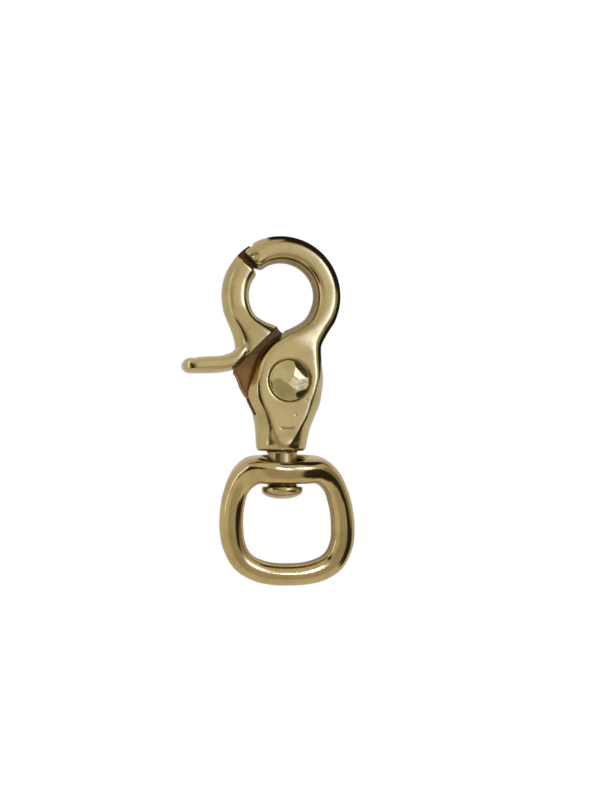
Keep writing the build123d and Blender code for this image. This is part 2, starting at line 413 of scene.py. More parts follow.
def cast_surface(forms: Sequence[Form], grain: float, rounds: int = 3) -> Form:
    """One closed surface round overlapping forms, with the soft edges of a polished casting.

    Args:
        forms: closed forms in millimetres, which are used up.
        grain: size of the surface's faces.
        rounds: how often the surface is smoothed.

    Returns:
        The form, in millimetres.
    """
    mesh = bpy.data.meshes.new("cast")
    whole = bmesh.new()
    for form in forms:
        form.to_mesh(mesh)
        form.free()
        whole.from_mesh(mesh)
    bpy.data.meshes.remove(mesh)
    body = stand_in(whole, "casting")
    remesh = body.modifiers.new("grain", "REMESH")
    remesh.mode = "VOXEL"
    remesh.voxel_size = grain
    result = after_modifiers(body)
    every_way = {"use_axis_x": True, "use_axis_y": True, "use_axis_z": True}
    for _ in range(rounds):
        bmesh.ops.smooth_vert(result, verts=result.verts, factor=0.5, **every_way)
    return result


# Shader maths


class Value:
    """A number socket of a shader, so that shader maths reads as Python."""

    def __init__(self, kit: "NodeKit", socket: Socket) -> None:
        """Wraps a socket of a node tree."""
        self.kit = kit
        self.socket = socket

    def __add__(self, other: Any) -> "Value":
        """Sum."""
        return self.kit.maths("ADD", self, other)

    def __sub__(self, other: Any) -> "Value":
        """Difference."""
        return self.kit.maths("SUBTRACT", self, other)

    def __rsub__(self, other: Any) -> "Value":
        """Difference with this value second."""
        return self.kit.maths("SUBTRACT", other, self)

    def __mul__(self, other: Any) -> "Value":
        """Product."""
        return self.kit.maths("MULTIPLY", self, other)

    __radd__ = __add__
    __rmul__ = __mul__

    def limited(self) -> "Value":
        """The value held between 0 and 1."""
        return self.kit.maths("MINIMUM", self.kit.maths("MAXIMUM", self, 0.0), 1.0)

    def ramped(self, low: float, high: float) -> "Value":
        """The value eased to 0 at low and below, and to 1 at high and above."""
        inputs = {"Value": self, "From Min": low, "From Max": high, "To Min": 0.0, "To Max": 1.0}
        eased = {"interpolation_type": "SMOOTHSTEP"}
        return self.kit.value("ShaderNodeMapRange", "Result", eased, inputs)


class NodeKit:
    """Makes the nodes of one tree."""

    def __init__(self, owner: bpy.types.Material | bpy.types.World) -> None:
        """Clears the owner's tree and takes it over."""
        owner.use_nodes = True
        self.tree = owner.node_tree
        self.tree.nodes.clear()

    def node(
        self,
        kind: str,
        settings: dict[str, Any] | None = None,
        inputs: dict[Any, Any] | None = None,
    ) -> bpy.types.Node:
        """Makes one node.

        Args:
            kind: the node's type.
            settings: properties that are set first.
            inputs: values or links by socket name or number.

        Returns:
            The node.
        """
        made = self.tree.nodes.new(kind)
        for key, value in (settings or {}).items():
            setattr(made, key, value)
        for key, value in (inputs or {}).items():
            source = value.socket if isinstance(value, Value) else value
            if isinstance(source, Socket):
                self.tree.links.new(source, made.inputs[key])
            else:
                made.inputs[key].default_value = source
        return made

    def value(self, kind: str, output: str | int, *rest: Any) -> Value:
        """Number that a new node gives, by the output's name or number; the rest is as for node."""
        return Value(self, self.node(kind, *rest).outputs[output])

    def maths(self, operation: str, *values: Any) -> Value:
        """Math node on values or numbers."""
        return self.value("ShaderNodeMath", 0, {"operation": operation}, dict(enumerate(values)))

    def place(self) -> Socket:
        """Object coordinates, in metres."""
        return self.node("ShaderNodeTexCoord").outputs["Object"]

    def noise(self, size_mm: float, detail: float = 3.0, roughness: float = 0.5) -> Value:
        """Noise whose blots are about that size, with that many finer layers of that strength."""
        inputs = {"Vector": self.place(), "Scale": 1 / (size_mm * MM), "Detail": detail}
        return self.value("ShaderNodeTexNoise", "Fac", {}, {**inputs, "Roughness": roughness})

    def attribute(self, name: str) -> Value:
        """A number stored on the mesh."""
        return self.value("ShaderNodeAttribute", "Fac", {"attribute_name": name})

    def colour_mix(self, share: Any, first: Any, second: Any) -> Socket:
        """Colour between two, by a share."""
        inputs = {"Factor": share, "A": first, "B": second}
        return self.node("ShaderNodeMix", {"data_type": "RGBA"}, inputs).outputs["Result"]

    def bump(self, height: Value, strength: float, distance_mm: float) -> Socket:
        """Normal raised by a height."""
        inputs = {"Height": height, "Strength": strength, "Distance": distance_mm * MM}
        return self.node("ShaderNodeBump", {}, inputs).outputs["Normal"]

    def glow(self, colour: Colour, strength: Any) -> Socket:
        """Light that a surface gives off."""
        inputs = {"Color": colour, "Strength": strength}
        return self.node("ShaderNodeEmission", {}, inputs).outputs["Emission"]

    def surface(self, shader: Socket) -> None:
        """Makes a shader the material's surface."""
        self.node("ShaderNodeOutputMaterial", {}, {"Surface": shader})

    def metal(self, inputs: dict[str, Any]) -> None:
        """Makes a metal with these inputs the material's surface."""
        self.surface(self.node("ShaderNodeBsdfPrincipled", {}, inputs).outputs["BSDF"])


# Finishes


@dataclass(frozen=True)
class PolishedBrass:
    """Cast brass, polished where a wheel reaches it, duller on its side walls and raw in its slots, with
    painted shade that darkens the raw metal towards the top.
    """

    name: str
    metal: Colour = (0.575, 0.445, 0.186, 1)
    tarnish: Colour = (0.3, 0.19, 0.07, 1)
    wall: Colour = (0.16, 0.09, 0.03, 1)
    raw: Colour = (0.27, 0.125, 0.022, 1)
    # Colour of raw metal in painted shade, used towards the top of the slot, on the tang and in the
    # mortise.
    raw_in_painted_shade: Colour = (0.06, 0.026, 0.01, 1)
    roughness: float = 0.17
    raw_roughness: float = 0.33
    tarnish_share: float = 0.35
    relief: float = 0.16
    relief_mm: float = 0.12
    # Heights in metres along Y over which the painted shade on raw metal fades in towards the top.
    painted_shade_heights: Pair = (-0.0195, -0.012)

    def material(self) -> bpy.types.Material:
        """The finish as a node material, which reads the piece's raw and wall shares.

        Returns:
            The material.
        """
        material = bpy.data.materials.new(self.name)
        kit = NodeKit(material)
        clouds = kit.noise(7.0, 4.0, 0.55).ramped(0.42, 0.72)
        specks = kit.noise(0.7, 5.0, 0.65)
        pores = specks.ramped(0.6, 0.78)
        raw = kit.attribute("raw").limited()
        wall = kit.attribute("wall").limited() * (0.5 + specks * 0.6)
        warm = kit.colour_mix(clouds * self.tarnish_share, self.metal, self.tarnish)
        spotted = kit.colour_mix(pores * 0.3, warm, self.tarnish)
        walled = kit.colour_mix(wall, spotted, self.wall)
        height_up = kit.value("ShaderNodeSeparateXYZ", "Y", {}, {"Vector": kit.place()})
        blots = kit.noise(1.4, 4.0, 0.6).ramped(0.4, 0.65)
        # Painted shade: raw metal turns darker towards the top, where the slot and the mortise close
        # over it, with random blots mixed in.
        painted_shade_and_blots = height_up.ramped(*self.painted_shade_heights) * 0.8 + blots * 0.25
        raw_with_painted_shade = kit.colour_mix(painted_shade_and_blots.limited(), self.raw, self.raw_in_painted_shade)
        shine = clouds * 0.06 + pores * 0.1 + wall * 0.15 + self.roughness
        height = specks * 0.45 + kit.noise(2.6, 2.0) * 0.55
        kit.metal(
            {
                "Base Color": kit.colour_mix(raw, walled, raw_with_painted_shade),
                "Metallic": 1.0 - raw * 0.2,
                "Roughness": shine + raw * self.raw_roughness,
                "Normal": kit.bump(height, self.relief, self.relief_mm),
            }
        )
        return material


@dataclass(frozen=True)
class SpringSteel:
    """Drawn steel wire."""

    name: str
    steel: Colour = (0.42, 0.41, 0.39, 1)
    dull: Colour = (0.24, 0.23, 0.21, 1)

    def material(self) -> bpy.types.Material:
        """The finish as a node material.

        Returns:
            The material.
        """
        material = bpy.data.materials.new(self.name)
        kit = NodeKit(material)
        streaks = kit.noise(0.6, 4.0)
        colour = kit.colour_mix(streaks.ramped(0.4, 0.7), self.steel, self.dull)
        kit.metal({"Base Color": colour, "Metallic": 1.0, "Roughness": streaks * 0.2 + 0.25})
        return material


# Castings


@dataclass(frozen=True)
class Hollow:
    """Opening whose inner walls are duller: its middle, and how far off the walls lie."""

    middle: Pair
    reach: float


RING_HOLLOW = Hollow((0, 0), 11.0)


class Casting:
    """One cast piece: its name, the body it moves with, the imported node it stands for, its opening."""

    name: str
    body: str
    node: str
    hollow: Hollow | None = None

    def form(self) -> Form:
        """The whole piece, in millimetres."""
        raise NotImplementedError

    def raw(self, place: Vector) -> float:
        """Share of raw metal at a place in millimetres: none, on a piece that is polished all over."""
        return 0.0

    def wall(self, vert: bpy.types.MeshVertex) -> float:
        """How dull the wheel left the piece.

        Args:
            vert: a vertex, in metres.

        Returns:
            0 on a face, a little on a side wall, and up to 1 on a wall of the opening.
        """
        facing = 0.0
        if self.hollow:
            offset = Vector(self.hollow.middle) - (vert.co / MM).to_2d()
            if offset.length < self.hollow.reach:
                facing = offset.normalized().dot(vert.normal.to_2d())
        upright = smooth_step((0.6 - abs(vert.normal.z)) / 0.35)
        return upright * (0.15 + 0.85 * smooth_step(facing / 0.5))

    def build(self, finish: PolishedBrass) -> Thing:
        """Makes the piece, brought to metres and shaded smooth.

        Args:
            finish: its finish.

        Returns:
            The piece, dressed.
        """
        form = self.form()
        bmesh.ops.scale(form, vec=(MM, MM, MM), verts=form.verts)
        for face in form.faces:
            face.smooth = True
        made = stand_in(form, self.name)
        log.info("%s: %d faces", self.name, len(made.data.polygons))
        self.dress(made, finish)
        return made

    def dress(self, made: Thing, finish: PolishedBrass) -> None:
        """Gives the piece its finish and its body, and hides the node it stands for.

        Args:
            made: the piece.
            finish: its finish.
        """
        mesh, body, node = made.data, self.body, self.node
        raw = [self.raw(vert.co / MM) for vert in mesh.vertices]
        walls = [self.wall(vert) for vert in mesh.vertices]
        for share, values in (("raw", raw), ("wall", walls)):
            mesh.attributes.new(share, "FLOAT", "POINT").data.foreach_set("value", values)
        mesh.materials.clear()
        mesh.materials.append(finish.material())
        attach(made, body)
        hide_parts(node)


@dataclass
class RingBar:
    """The round hook's bar and the joint between its two jaws."""

    bore_radius: float = 7.75
    bar_width: float = 6.5
    depth: float = 9.2
    thickness: float = 8.0
    nose_angle: float = 132.5
    joint_gap: float = 1.3
    softness: float = 0.55

    @property
    def outer_radius(self) -> float:
        """Radius of the ring's outside."""
        return self.bore_radius + self.bar_width

    @property
    def gate_tip_angle(self) -> float:
        """Angle at which the moving jaw ends."""
        return self.nose_angle + math.degrees(self.joint_gap / (self.bore_radius + self.bar_width / 2))

    def section(self, angle: float, depth: float = 0.0, thickness: float = 0.0) -> Section:
        """Section at an angle, with the ring's own depth and thickness unless given."""
        ends = (polar(self.bore_radius, angle), polar(self.outer_radius, angle))
        return Section(*ends, depth or self.depth, thickness or self.thickness, self.softness)


@dataclass(frozen=True)
class Spot:
    """Round mark on a face: its middle, its radius and how deep or strong it is."""

    middle: Pair
    radius: float
    strength: float

    def share(self, place: Vector) -> float:
        """Strength of the mark at a place."""
        return self.strength * fade((place.to_2d() - Vector(self.middle)).length, self.radius)


@dataclass
class HookBody(Casting):
    """Fixed jaw, cheeks and stud, cast in one.

    Angles and radii of the slot are from the pivot, and angles of the mortise from the nose.
    """

    name = "cast_hook_body"
    body = "hook"
    node = "hook_body"
    hollow = RING_HOLLOW

    ring: RingBar
    pivot: Pair = (1.2, -20.3)
    thickness: float = 11.9
    bar_angles: tuple[float, ...] = (110, 88, 66, 44, 22, 7)
    nose_rounding: float = 1.0
    base_rounding: float = 0.9
    base_radius: float = 5.9
    base_end: float = -36.8
    slot_width: float = 5.0
    hub_radius: float = 7.1
    slot_angles: Pair = (41.4, 275.6)
    throat: tuple[Pair, ...] = ((11.9, 92), (22, 120), (22, 200), (11.4, 225))
    seat_radius: float = 5.05
    seat_depth: float = 0.5
    mortise_width: float = 3.8
    mortise_angles: Pair = (-14, 5)
    mortise_wall: float = 1.0
    stud_x: float = 0.3
    neck_radius: float = 3.5
    button_radius: float = 4.9
    button_top: float = -45.25
    button_height: float = 2.9
    button_rim: float = 0.9
    button_edge: tuple[Pair, ...] = ((0, 0.35), (0.1, 0.1), (0.4, 0))
    nick: Spot = Spot((0.6, -27.2), 4.5, 0.1)
    nick_width: float = 0.17
    nick_reach: float = 1.9
    spots: tuple[Spot, ...] = (Spot((2.7, -28.4), 0.22, 0.8), Spot((5.3, -24.9), 0.25, 0.4))
    dent: Spot = Spot((-6.9, 9.1), 0.6, 0.45)
    grain: float = 0.21

    def foot_sections(self) -> list[Section]:
        """Sections from the ring's foot through the cheeks to the round base.

        Returns:
            The sections.
        """
        full, side, end = self.thickness, self.base_radius, self.base_end
        return [
            self.ring.section(-8, 9.4, 8.2),
            self.ring.section(-23, 10.1, 9.0),
            Section((5.6, -5.6), (10.9, -9.2), 11.6, 10.3, 0.7),
            Section((2.9, -7.35), (9.55, -12.0), 13.8, 11.4, 0.9),
            Section((-0.4, -8.9), (9.5, -14.0), 15.6, full, 0.8),
            Section((-4.15, -11.7), (9.75, -16.8), 17.4, full, 0.7),
            Section((-6.6, -15.05), (10.0, -19.4), 18.4, full, 0.5),
            Section((-8.2, -19.8), (9.8, -22.5), 17.8, full, 0.35),
            Section((-8.75, -23.6), (9.2, -25.8), 16.2, full, 0.3),
            Section((-6.7, -28.6), (7.95, -28.8), 15.3, full, 0.25),
            Section((-6.15, -32.0), (6.75, -32.0), 13.6, full, 0.18),
            Section((-6.0, -34.5), (6.2, -34.5), 12.3, full, 0.1),
            Section((-side, end), (side, end), 2 * side, 2 * side + 1),
        ]

    def between_ends(self, section: Section) -> bool:
        """Whether a section lies clear of the rounded nose and the rounded base.

        Args:
            section: the section.

        Returns:
            True if it does.
        """
        nose = math.degrees((self.nose_rounding + END_GAP) / self.ring.bore_radius)
        angle = math.degrees(math.atan2(section.outer[1], section.outer[0]))
        low = self.base_end + self.base_rounding + END_GAP
        return angle < self.ring.nose_angle - nose and section.inner[1] > low

    def casting(self) -> Form:
        """The outside of the casting, before it is cut.

        Returns:
            The form, in millimetres.
        """
        rough = [self.ring.section(angle) for angle in (self.ring.nose_angle, *self.bar_angles)]
        fine = blended(rough + self.foot_sections(), 12)
        nose = rounded_end(fine[0], fine[3], self.nose_rounding)[::-1]
        foot = rounded_end(fine[-1], fine[-4], self.base_rounding)
        return skin(nose + [section for section in fine if self.between_ends(section)] + foot)

    def cuts(self) -> list[Form]:
        """Slot for the tang, mortise for the tongue and the rivet's two seats.

        Returns:
            The forms to cut away.
        """
        half, ring = self.slot_width / 2, self.ring
        start, end = (polar(self.hub_radius, angle, self.pivot) for angle in self.slot_angles)
        throat = [polar(radius, angle, self.pivot) for radius, angle in self.throat]
        low, high = ring.bore_radius + self.mortise_wall, ring.outer_radius + 2.0
        first, last = (ring.nose_angle + angle for angle in self.mortise_angles)
        mortise = [polar(low, first), polar(high, first), polar(high, last), polar(low, last)]
        face, floor = self.thickness, self.thickness / 2 - self.seat_depth
        return [
            disc(self.hub_radius, -half, half, self.pivot),
            prism([self.pivot, start, *throat, end], -half, half),
            prism(mortise, -self.mortise_width / 2, self.mortise_width / 2),
            disc(self.seat_radius, floor, face, self.pivot),
            disc(self.seat_radius, -face, -floor, self.pivot),
        ]

    def stud(self) -> Form:
        """Neck and button head, turned about the swivel's axis.

        Returns:
            The form, in millimetres.
        """
        foot, arc = self.button_top - self.button_height, 12
        profile = []
        for step in range(arc + 1):
            turn = QUARTER * step / arc
            rise = (self.button_height - self.button_rim) * (1 - math.cos(turn))
            profile.append((self.button_radius * math.sin(turn), foot + rise))
        for inset, drop in self.button_edge:
            profile.append((self.button_radius - inset, self.button_top - drop))
        top = self.base_end + 1
        profile += [(self.neck_radius, self.button_top), (self.neck_radius, top), (0, top)]
        return turned(profile, Axis.ALONG_Y, (self.stud_x, 0))

    def marked(self, place: Vector) -> float:
        """Share of the casting marks on the front face: the curved nick, the pit and the blemish.

        Args:
            place: a place, in millimetres.

        Returns:
            The share there, from 0 to 1.
        """
        if place.z < self.thickness / 2 - 0.8:
            return 0.0
        share = sum(spot.share(place) for spot in self.spots)
        offset = place.to_2d() - Vector(self.nick.middle)
        if offset.y < 0:
            ends = smooth_step((self.nick_reach - abs(offset.x)) / 0.6)
            share += fade(offset.length - self.nick.radius, self.nick_width) * ends
        return min(share, 1.0)

    def raw(self, place: Vector) -> float:
        """Raw metal inside the slot and the mortise, in the marks and a little on the neck.

        Args:
            place: a place, in millimetres.

        Returns:
            The share of raw metal there.
        """
        ring = self.ring
        slot = smooth_step((self.slot_width / 2 + 0.15 - abs(place.z)) / SOFT_EDGE)
        slot *= smooth_step((-8.0 - place.y) / 1.5) * smooth_step((place.y + 31) / 2)
        reach = (place.to_2d() - Vector(self.pivot)).length
        slot *= smooth_step((self.hub_radius + 0.2 - reach) / SOFT_EDGE)
        mouth = 0.0
        if place.y > 0 and ring.bore_radius < math.hypot(place.x, place.y) < ring.outer_radius + 1:
            angle = math.degrees(math.atan2(place.y, place.x))
            mouth = smooth_step((angle - ring.nose_angle + 1.5) / 2.5)
        neck = smooth_step((self.base_end - 0.1 - place.y) / SOFT_EDGE) * smooth_step(place.y + 45)
        return max(slot, mouth * 0.8, 0.75 * self.marked(place), neck * 0.3)

    def form(self) -> Form:
        """The casting with its stud, the marks on its front face and the dent near the nose.

        Returns:
            The form, in millimetres.
        """
        form = cast_surface([carved(self.casting(), self.cuts()), self.stud()], self.grain)
        for vert in form.verts:
            vert.co.z -= self.nick.strength * self.marked(vert.co)
            if vert.co.y > 0 and vert.co.z > 2.5:
                vert.co.z -= self.dent.share(vert.co)
        return form


@dataclass
class ThumbGate(Casting):
    """Moving jaw with its thumb lever, tang and tongue, cast in one.

    Angles and radii of the tang are from the pivot, and angles of the tongue from the nose.
    """

    name = "cast_thumb_gate"
    body = "gate"
    node = "thumb_gate"
    hollow = RING_HOLLOW

    ring: RingBar
    pivot: Pair = (1.2, -20.3)
    bar_angles: tuple[float, ...] = (160, 180, 195)
    tip_rounding: float = 0.6
    shoulder: tuple[Pair, ...] = ((-1.4, -7.5), (-11.0, -17.1), (-12.4, -18.1))
    hub_radius: float = 6.6
    tang_thickness: float = 4.6
    tang_angles: Pair = (41.4, 251.6)
    tang_corners: tuple[Pair, Pair] = ((11.4, 96), (10.4, 201))
    tang_edge: tuple[Pair, ...] = (
        (-0.7, -8.4), (-1.35, -7.45), (-4.0, -7.6), (-11.0, -15.6),
        (-11.3, -18.4), (-10.5, -19.6), (-9.75, -21.8),
    )
    lever_thickness: float = 9.4
    lever_tip: float = -23.6
    lever_corner: float = 3.2
    lever_radius: float = 1.85
    tongue_width: float = 3.2
    tongue_angles: Pair = (-9, 21)
    tongue_insets: Pair = (1.4, 0.15)
    grain: float = 0.2

    def jaw(self) -> Form:
        """The ring's bar on this side, down to the shoulder.

        Returns:
            The form, in millimetres.
        """
        rough = [self.ring.section(angle) for angle in (self.ring.gate_tip_angle, *self.bar_angles)]
        rough += [
            Section((-6.3, -4.6), (-12.8, -6.3), 9.8, 8.5),
            Section((-4.0, -6.1), (-11.7, -9.0), 10.2, 9.0),
            Section((-1.3, -7.2), (-11.0, -12.0), 10.6, 9.3),
            Section((1.4, -8.6), (-11.2, -15.8), 10.9, 9.4),
        ]
        fine = blended(rough, 12)
        start, clear = Vector(fine[0].inner), self.tip_rounding + 0.2
        rest = [section for section in fine if (Vector(section.inner) - start).length > clear]
        return skin(rounded_end(fine[0], fine[3], self.tip_rounding)[::-1] + rest)

    def lever(self) -> Form:
        """The thumb lever, with its rounded end and corners.

        Returns:
            The form, in millimetres.
        """
        thick, corner, round_at = self.lever_thickness, self.lever_corner, self.lever_radius
        end = Section((self.lever_tip, -18.5), (self.lever_tip, -14.9), 10.9, thick)
        rough = [
            Section((-8.0, -14.0), (-8.0, -9.6), 9.0, 8.8),
            Section((-10.0, -16.4), (-10.0, -11.6), 10.4, 9.3),
            Section((-11.6, -17.7), (-11.6, -13.3), 10.8, thick),
            Section((-13.6, -18.2), (-13.6, -14.1), 10.9, thick),
            Section((-18.0, -18.5), (-18.0, -14.5), 10.9, thick),
            end,
        ]
        shaped = [part for part in blended(rough, 14) if part.inner[0] - self.lever_tip >= corner + 0.1]
        middle, steps = (end.inner[1] + end.outer[1]) / 2, 12
        for step in range(steps + 1):
            left = corner * (1 - math.sin(QUARTER * step / steps)) + 0.01
            cut = 2 * (corner - math.sqrt(max(corner**2 - (corner - left) ** 2, 0)))
            half = round_at
            if left < round_at:
                half = math.sqrt(max(round_at**2 - (round_at - left) ** 2, 0.01))
            x = self.lever_tip + left
            shaped.append(Section((x, middle - half), (x, middle + half), end.depth - cut, thick - cut))
        return skin(shaped)

    def below_shoulder(self) -> Form:
        """What is cut away under the shoulder, to bare the tang."""
        low_end = [(self.shoulder[-1][0], -FAR), (10, -FAR), (10, self.shoulder[0][1])]
        return prism([*self.shoulder, *low_end], -FAR, FAR)

    def tang(self) -> list[Form]:
        """The plate round the pivot.

        Returns:
            Its round hub and the rest of the plate.
        """
        half = self.tang_thickness / 2
        start, end = (polar(self.hub_radius, angle, self.pivot) for angle in self.tang_angles)
        toe, heel = (polar(*corner, self.pivot) for corner in self.tang_corners)
        plate = [self.pivot, start, toe, *self.tang_edge, heel, end]
        return [disc(self.hub_radius, -half, half, self.pivot), prism(plate, -half, half)]

    def tongue(self) -> Form:
        """The tongue that enters the fixed jaw.

        Returns:
            The form, in millimetres.
        """
        start, end = (self.ring.nose_angle + angle for angle in self.tongue_angles)
        inside, outside = self.tongue_insets
        outline = arc_points(self.ring.outer_radius - outside, start, end, 24)
        outline += arc_points(self.ring.bore_radius + inside, end, start, 24)
        return prism(outline, -self.tongue_width / 2, self.tongue_width / 2)

    def raw(self, place: Vector) -> float:
        """Raw metal on the tang and the tongue.

        Args:
            place: a place, in millimetres.

        Returns:
            The share of raw metal there.
        """
        (edge_x, edge_y), slant = self.shoulder[0], math.sqrt(0.5)
        below = ((place.x - edge_x) - (place.y - edge_y)) * slant
        tang = smooth_step((self.tang_thickness / 2 + 0.25 - abs(place.z)) / SOFT_EDGE)
        tang *= smooth_step((place.x + 12.0) / 0.6) * smooth_step((below + 0.15) / SOFT_EDGE)
        tongue = 0.0
        if place.y > 0 and place.x < 0:
            angle = math.degrees(math.atan2(place.y, place.x))
            tongue = smooth_step((self.ring.gate_tip_angle + 0.4 - angle) / 1.5)
        return max(tang, tongue)

    def form(self) -> Form:
        """The jaw and the lever above the shoulder, with the tang and the tongue.

        Returns:
            The form, in millimetres.
        """
        upper = [carved(part, [self.below_shoulder()]) for part in (self.jaw(), self.lever())]
        return cast_surface([*upper, *self.tang(), self.tongue()], self.grain)


@dataclass
class PeenedRivet(Casting):
    """Brass rivet whose front head was hammered over in flats.

    Each blow has its heading in degrees, its distance from the middle, the lean of its flat in
    degrees, and its height over the seat.
    """

    name = "hammered_rivet"
    body = "hook"
    node = "pivot_rivet"

    pivot: Pair = (1.2, -20.3)
    radius: float = 4.8
    seat: float = 5.45
    height: float = 1.45
    rim: float = 0.3
    shank_radius: float = 2.3
    blows: tuple[tuple[float, float, float, float], ...] = (
        (140, 0.5, 5, 1.25), (330, 0.4, 5, 1.27), (40, 2.3, 11, 1.12), (96, 1.9, 10, 1.17),
        (2, 2.2, 8, 1.14), (118, 1.5, 14, 1.2), (150, 2.2, 10, 1.1), (190, 1.5, 9, 1.22),
        (226, 2.2, 11, 1.06), (252, 1.3, 11, 1.24), (296, 1.7, 7, 1.2), (336, 2.1, 11, 1.12),
        (42, 3.35, 26, 0.85), (165, 3.4, 17, 0.96), (262, 3.4, 23, 0.86), (312, 3.5, 19, 0.9),
    )
    grain: float = 0.12

    def head(self, side: int) -> Form:
        """One domed head.

        Args:
            side: 1 for the front and -1 for the back.

        Returns:
            The form, in millimetres.
        """
        arc, edge = 16, self.seat + self.rim
        profile = [(0.0, self.seat), (self.radius, self.seat), (self.radius, edge)]
        for step in range(1, arc + 1):
            turn = QUARTER * step / arc
            rise = (self.height - self.rim) * math.sin(turn)
            profile.append((self.radius * math.cos(turn), edge + rise))
        return turned([(radius, side * height) for radius, height in profile], Axis.ALONG_Z, self.pivot)

    def hammer(self, form: Form) -> None:
        """Flattens the front head blow by blow.

        Args:
            form: the head, which is changed.
        """
        for heading, distance, tilt, height in self.blows:
            lean = math.radians(tilt)
            out = Vector((*polar(1, heading), 0))
            cut = bmesh.ops.bisect_plane(
                form,
                geom=[*form.verts, *form.edges, *form.faces],
                plane_co=Vector((*self.pivot, self.seat + height)) + out * distance,
                plane_no=out * math.sin(lean) + Vector((0, 0, math.cos(lean))),
                clear_outer=True,
            )
            edges = [item for item in cut["geom_cut"] if isinstance(item, bmesh.types.BMEdge)]
            if edges:
                bmesh.ops.edgeloop_fill(form, edges=edges)

    def form(self) -> Form:
        """Both heads and the shank.

        Returns:
            The form, in millimetres.
        """
        front, end = self.head(1), self.seat + 0.2
        self.hammer(front)
        shank = disc(self.shank_radius, -end, end, self.pivot)
        return cast_surface([front, self.head(-1), shank], self.grain, 2)


@dataclass
class StrapEye(Casting):
    """Loose swivel eye, a rounded-square loop with a thick bored crossbar.

    The loop has an inner and an outer point, a depth and a squareness for each section, from the
    crossbar's middle round the right side to the foot's middle.
    """

    name = "cast_swivel_eye"
    body = "eye"
    node = "swivel_eye"
    hollow = Hollow((1.05, -54.05), 15.0)

    centre: Pair = (1.05, -41.05)
    tilt: float = 10.0
    cant: float = 0.4
    lean: float = 3.0
    hole_radius: float = 4.9
    hole_foot: float = -10.0
    recess_radius: float = 5.9
    recess_depth: float = 0.8
    crossbar_top: float = 3.0
    half_loop: tuple[tuple[Pair, Pair, float, float], ...] = (
        ((0, -3.1), (0, 3.0), 13.4, 3.6),
        ((4.2, -3.15), (4.6, 3.0), 12.6, 3.4),
        ((7.1, -3.4), (9.2, 2.5), 10.2, 3.0),
        ((8.75, -4.9), (12.1, 0.3), 7.8, 2.7),
        ((9.9, -7.9), (15.05, -5.7), 6.0, 2.4),
        ((10.45, -11.0), (16.0, -10.2), 5.8, 2.35),
        ((10.55, -14.2), (16.25, -14.6), 5.8, 2.35),
        ((10.25, -17.6), (15.5, -19.4), 5.8, 2.35),
        ((8.75, -20.6), (13.05, -24.0), 5.8, 2.35),
        ((5.4, -22.3), (8.3, -27.05), 5.8, 2.35),
        ((2.6, -22.8), (3.9, -28.0), 5.8, 2.35),
        ((0, -22.9), (0, -28.15), 5.8, 2.35),
    )
    grain: float = 0.22

    def loop(self) -> Form:
        """The loop's outside, a little askew.

        Returns:
            The form, in millimetres.
        """
        no_flats = 100.0
        right = [
            Section(*ends, depth, no_flats, squareness=square) for *ends, depth, square in self.half_loop
        ]
        left = [section.mirrored() for section in right[-2:0:-1]]
        form = skin(blended(right + left, 10, closed=True), closed=True)
        lean = Matrix.Shear("XZ", 4, (-math.tan(math.radians(self.lean)), 0))
        bmesh.ops.transform(form, matrix=lean, verts=form.verts)
        return form

    def bore(self) -> Form:
        """The stud's hole, with its shallow recess on top.

        Returns:
            The form to cut away.
        """
        top, foot = self.crossbar_top, self.hole_foot
        hole = [(0, foot), (self.hole_radius, foot), (self.hole_radius, top - self.recess_depth)]
        recess = [(self.recess_radius, top), (self.recess_radius + 1, top + 1), (0, top + 1)]
        return turned(hole + recess, Axis.ALONG_Y)

    def form(self) -> Form:
        """The eye as it rests on the stud: leaning back, slightly askew and to one side.

        Returns:
            The form, in millimetres.
        """
        form = cast_surface([carved(self.loop(), [self.bore()])], self.grain)
        tilt = Matrix.Rotation(math.radians(self.tilt), 4, "X")
        cant = Matrix.Rotation(math.radians(self.cant), 4, "Z")
        seat = Matrix.Translation(Vector((*self.centre, 0))) @ (tilt @ cant)
        bmesh.ops.transform(form, matrix=seat, verts=form.verts)
        return form


# Table, light and camera


@dataclass(frozen=True)
class Patch:
    """Round patch of the room, as the metal mirrors it.

    heading is in degrees from +X towards +Y, fall is from straight up, radius and edge are its
    size and its soft edge in degrees, and level is its brightness, where 1 is white.
    """

    heading: float
    fall: float
    radius: float
    edge: float
    level: float

    def direction(self) -> Vector:
        """Direction of the patch's middle."""
        fall = math.radians(self.fall)
        return Vector((*polar(math.sin(fall), self.heading), math.cos(fall)))


